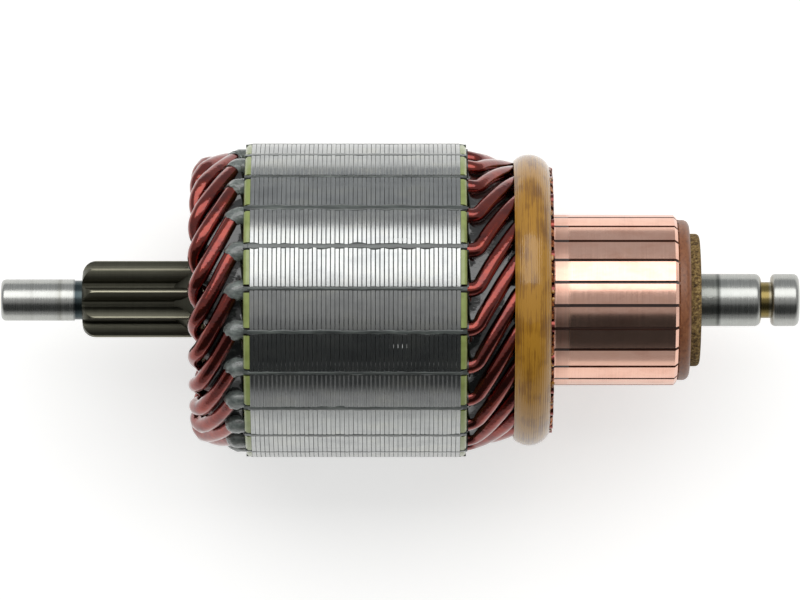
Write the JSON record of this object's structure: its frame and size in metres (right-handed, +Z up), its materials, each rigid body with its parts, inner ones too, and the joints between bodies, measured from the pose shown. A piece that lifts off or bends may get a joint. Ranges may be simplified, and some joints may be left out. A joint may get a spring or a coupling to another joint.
{
  "type": "motor armature",
  "caption": "Wound starter-motor armature: toothed shaft, laminated core with hairpin winding and a banded commutator, carried by a journal at each end.",
  "frame": {"origin": "on the shaft axis, halfway along the shaft", "axes": "+X along the shaft towards the commutator end, +Z up as the armature lies"},
  "size_m": [0.1522, 0.06, 0.06],
  "materials": {
    "shaft_steel": "ground journals, dark hobbed teeth",
    "lamination_steel": "stamped sheet edges, turned to size",
    "end_insulator": "green moulded insulation",
    "slot_paper": "varnished insulating paper",
    "resin": "cured varnish",
    "enamelled_wire": "copper under dark red enamel, glossy varnish",
    "glass_band": "amber resin over glass strands",
    "bar_copper": "turned copper",
    "moulding": "brown phenolic moulding",
    "bush_steel": "drawn tube",
    "fibre": "pressed fibre, speckled"
  },
  "bodies": {
    "root": {"shaft": "shaft_steel", "core": "lamination_steel", "end_insulator_drive": "end_insulator", "end_insulator_rear": "end_insulator", "slot_liners": "slot_paper", "slot_resin": "resin", "layer_paper_drive": "slot_paper", "layer_paper_rear": "slot_paper", "winding_band": "glass_band", "commutator_moulding": "moulding", "commutator_bush": "bush_steel", "fibre_washer": "fibre", "hairpin_01": "enamelled_wire", "hairpin_02": "enamelled_wire", "hairpin_03": "enamelled_wire", "hairpin_04": "enamelled_wire", "hairpin_05": "enamelled_wire", "hairpin_06": "enamelled_wire", "hairpin_07": "enamelled_wire", "hairpin_08": "enamelled_wire", "hairpin_09": "enamelled_wire", "hairpin_10": "enamelled_wire", "hairpin_11": "enamelled_wire", "hairpin_12": "enamelled_wire", "hairpin_13": "enamelled_wire", "hairpin_14": "enamelled_wire", "hairpin_15": "enamelled_wire", "hairpin_16": "enamelled_wire", "hairpin_17": "enamelled_wire", "hairpin_18": "enamelled_wire", "hairpin_19": "enamelled_wire", "hairpin_20": "enamelled_wire", "hairpin_21": "enamelled_wire", "hairpin_22": "enamelled_wire", "hairpin_23": "enamelled_wire", "commutator_bar_01": "bar_copper", "commutator_bar_02": "bar_copper", "commutator_bar_03": "bar_copper", "commutator_bar_04": "bar_copper", "commutator_bar_05": "bar_copper", "commutator_bar_06": "bar_copper", "commutator_bar_07": "bar_copper", "commutator_bar_08": "bar_copper", "commutator_bar_09": "bar_copper", "commutator_bar_10": "bar_copper", "commutator_bar_11": "bar_copper", "commutator_bar_12": "bar_copper", "commutator_bar_13": "bar_copper", "commutator_bar_14": "bar_copper", "commutator_bar_15": "bar_copper", "commutator_bar_16": "bar_copper", "commutator_bar_17": "bar_copper", "commutator_bar_18": "bar_copper", "commutator_bar_19": "bar_copper", "commutator_bar_20": "bar_copper", "commutator_bar_21": "bar_copper", "commutator_bar_22": "bar_copper", "commutator_bar_23": "bar_copper"}
  },
  "joints": []
}
